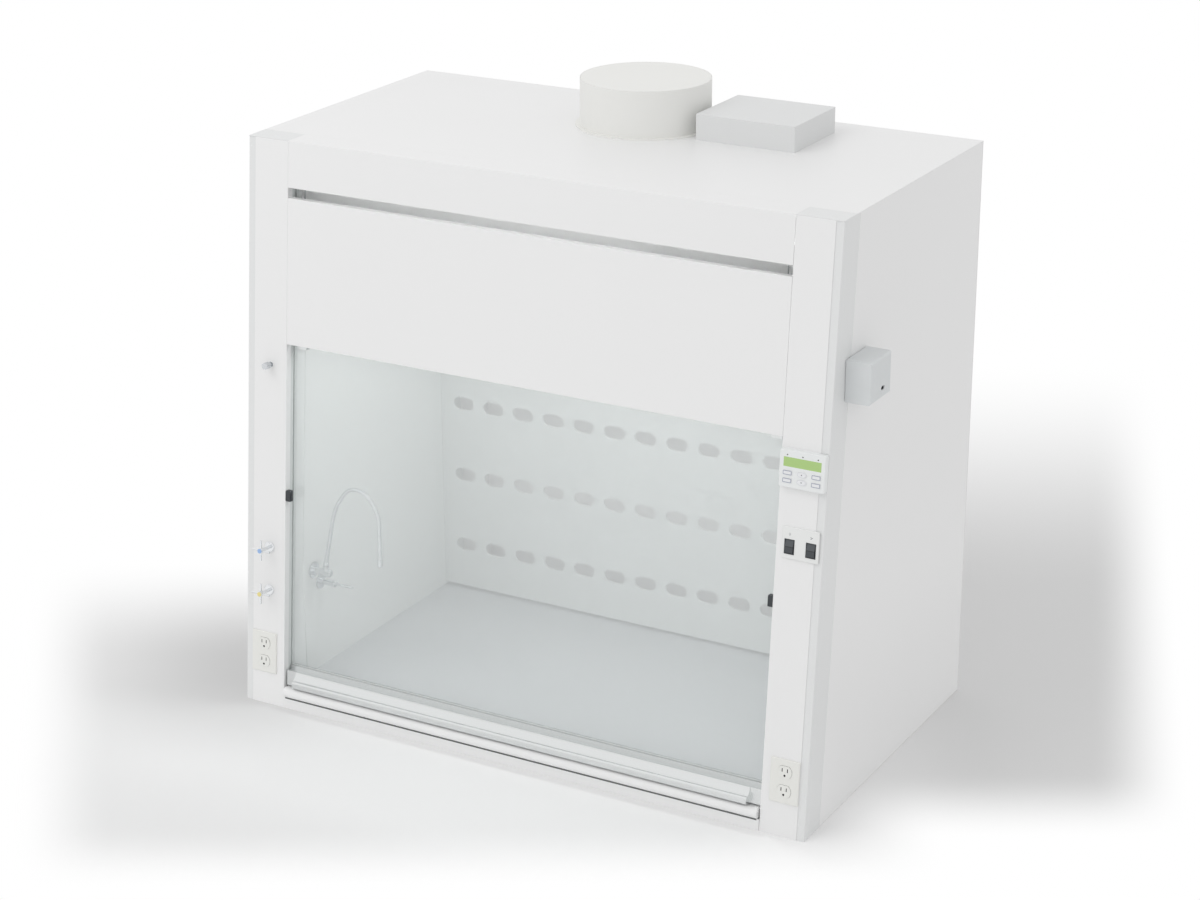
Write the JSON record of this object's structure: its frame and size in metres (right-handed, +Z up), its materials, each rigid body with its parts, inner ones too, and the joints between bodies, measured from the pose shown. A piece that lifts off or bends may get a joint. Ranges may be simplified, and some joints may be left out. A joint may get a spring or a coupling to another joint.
{
  "type": "benchtop fume hood",
  "caption": "Ducted benchtop fume hood with a leaning front, a counterbalanced glass sash, service valves, a gooseneck spout, outlets, switches and an airflow monitor.",
  "frame": {"origin": "on the bench, under the middle of the cabinet's footprint", "axes": "+X to the user's right, -Y out of the front, +Z up"},
  "size_m": [1.56, 0.898, 1.492],
  "materials": {
    "cabinet_enamel": "satin powder coat",
    "post_enamel": "satin powder coat",
    "duct_enamel": "satin powder coat",
    "box_enamel": "satin powder coat",
    "work_top": "fine matt epoxy resin",
    "liner_panel": "smooth phenolic laminate",
    "black_plastic": "fine grain",
    "safety_glass": "polished",
    "anodised_aluminium": "satin anodised",
    "bright_steel": "turned",
    "wire_rope": "stranded",
    "chrome": "polished",
    "lamp_diffuser": "frosted",
    "sensor_plastic": "fine grain",
    "ivory_plastic": "moulded",
    "switch_enamel": "satin",
    "monitor_plastic": "fine grain",
    "display_green": "backlit display window",
    "indicator_lens": "unlit lens",
    "key_rubber": "matt",
    "index_blue": "moulded",
    "index_yellow": "moulded",
    "copper_pipe": "drawn"
  },
  "bodies": {
    "cabinet": {"airfoil_sill": "cabinet_enamel", "back_panel": "cabinet_enamel", "base_tray": "cabinet_enamel", "bypass_deflector": "cabinet_enamel", "ceiling_liner": "liner_panel", "corner_posts": "post_enamel", "counterweight_guides": "cabinet_enamel", "duct_cap": "duct_enamel", "exhaust_collar": "duct_enamel", "front_panel": "cabinet_enamel", "header_panel": "cabinet_enamel", "junction_box": "box_enamel", "lamp_housing": "cabinet_enamel", "lamp_lens": "lamp_diffuser", "liner_trims": "liner_panel", "monitor_case": "monitor_plastic", "monitor_display": "display_green", "monitor_indicators": "indicator_lens", "outlet_plates": "ivory_plastic", "post_cover_left": "cabinet_enamel", "post_cover_right": "cabinet_enamel", "pulley_brackets": "bright_steel", "rear_baffle": "liner_panel", "receptacles": "ivory_plastic", "sash_cables": "wire_rope", "sash_stops": "black_plastic", "sash_tracks": "black_plastic", "service_outlets": "chrome", "service_pipes": "copper_pipe", "service_valves": "chrome", "side_box": "sensor_plastic", "side_liners": "liner_panel", "side_panels": "cabinet_enamel", "switch_housings": "black_plastic", "switch_plate": "switch_enamel", "top_panel": "cabinet_enamel", "upper_baffle": "liner_panel", "work_surface": "work_top"},
    "sash": {"sash_glass": "safety_glass", "sash_rail": "anodised_aluminium", "sash_handle": "anodised_aluminium", "cable_clamps": "anodised_aluminium"},
    "counterweight_left": {"counterweight_left": "bright_steel"},
    "counterweight_right": {"counterweight_right": "bright_steel"},
    "front_pulleys": {"front_pulley_shaft": "bright_steel"},
    "rear_pulleys": {"rear_pulley_shaft": "bright_steel"},
    "water_valve": {"water_handle": "chrome", "water_index": "index_blue"},
    "gas_valve": {"gas_handle": "chrome", "gas_index": "index_yellow"},
    "spout": {"spout": "chrome"},
    "cover_latch": {"cover_latch": "chrome"},
    "rocker_left": {"rocker_left": "black_plastic"},
    "rocker_right": {"rocker_right": "black_plastic"},
    "key_left_upper": {"key_left_upper": "key_rubber"},
    "key_left_lower": {"key_left_lower": "key_rubber"},
    "key_up": {"key_up": "key_rubber"},
    "key_down": {"key_down": "key_rubber"},
    "key_right_upper": {"key_right_upper": "key_rubber"},
    "key_right_lower": {"key_right_lower": "key_rubber"}
  },
  "joints": [
    {"name": "sash_slide", "type": "slide", "parent": "cabinet", "child": "sash", "axis": [0, 0.0881, 0.9961], "range_m": [0, 0.4277], "deforming": ["sash_cables"]},
    {"name": "counterweight_left_slide", "type": "slide", "parent": "cabinet", "child": "counterweight_left", "axis": [0, 0, -1], "range_m": [0, 0.428]},
    {"name": "counterweight_right_slide", "type": "slide", "parent": "cabinet", "child": "counterweight_right", "axis": [0, 0, -1], "range_m": [0, 0.428]},
    {"name": "front_pulley_turn", "type": "hinge", "parent": "cabinet", "child": "front_pulleys", "pos_m": [0, -0.27071, 1.3585], "axis": [1, 0, 0], "range_deg": [-1540, 0]},
    {"name": "rear_pulley_turn", "type": "hinge", "parent": "cabinet", "child": "rear_pulleys", "pos_m": [0, 0.4, 1.3585], "axis": [1, 0, 0], "range_deg": [-1540, 0]},
    {"name": "water_valve_turn", "type": "hinge", "parent": "cabinet", "child": "water_valve", "pos_m": [-0.684, -0.40469, 0.39944], "axis": [0, -0.9961, 0.0881], "range_deg": [0, 360]},
    {"name": "gas_valve_turn", "type": "hinge", "parent": "cabinet", "child": "gas_valve", "pos_m": [-0.684, -0.41424, 0.29136], "axis": [0, -0.9961, 0.0881], "range_deg": [0, 360]},
    {"name": "spout_swivel", "type": "hinge", "parent": "cabinet", "child": "spout", "pos_m": [-0.6, -0.293, 0.308], "axis": [0, 0, 1], "range_deg": [-20, 90]},
    {"name": "cover_latch_turn", "type": "hinge", "parent": "cabinet", "child": "cover_latch", "pos_m": [-0.684, -0.36501, 0.84819], "axis": [0, -0.9961, 0.0881], "range_deg": [0, 90]},
    {"name": "rocker_left_press", "type": "hinge", "parent": "cabinet", "child": "rocker_left", "pos_m": [0.67275, -0.3811, 0.6663], "axis": [1, 0, 0], "range_deg": [0, 14]},
    {"name": "rocker_right_press", "type": "hinge", "parent": "cabinet", "child": "rocker_right", "pos_m": [0.72325, -0.3811, 0.6663], "axis": [1, 0, 0], "range_deg": [0, 14]},
    {"name": "key_left_upper_press", "type": "slide", "parent": "cabinet", "child": "key_left_upper", "axis": [0, 0.9961, -0.0881], "range_m": [0, 0.001], "stiffness_N_per_m": 300, "springref_m": -0.0005},
    {"name": "key_left_lower_press", "type": "slide", "parent": "cabinet", "child": "key_left_lower", "axis": [0, 0.9961, -0.0881], "range_m": [0, 0.001], "stiffness_N_per_m": 300, "springref_m": -0.0005},
    {"name": "key_up_press", "type": "slide", "parent": "cabinet", "child": "key_up", "axis": [0, 0.9961, -0.0881], "range_m": [0, 0.001], "stiffness_N_per_m": 300, "springref_m": -0.0005},
    {"name": "key_down_press", "type": "slide", "parent": "cabinet", "child": "key_down", "axis": [0, 0.9961, -0.0881], "range_m": [0, 0.001], "stiffness_N_per_m": 300, "springref_m": -0.0005},
    {"name": "key_right_upper_press", "type": "slide", "parent": "cabinet", "child": "key_right_upper", "axis": [0, 0.9961, -0.0881], "range_m": [0, 0.001], "stiffness_N_per_m": 300, "springref_m": -0.0005},
    {"name": "key_right_lower_press", "type": "slide", "parent": "cabinet", "child": "key_right_lower", "axis": [0, 0.9961, -0.0881], "range_m": [0, 0.001], "stiffness_N_per_m": 300, "springref_m": -0.0005}
  ],
  "couplings": [
    {"joint": "counterweight_left_slide", "follows": "sash_slide", "ratio": 1},
    {"joint": "counterweight_right_slide", "follows": "sash_slide", "ratio": 1},
    {"joint": "front_pulley_turn", "follows": "sash_slide", "rad_per_m": -62.5},
    {"joint": "rear_pulley_turn", "follows": "sash_slide", "rad_per_m": -62.5}
  ]
}
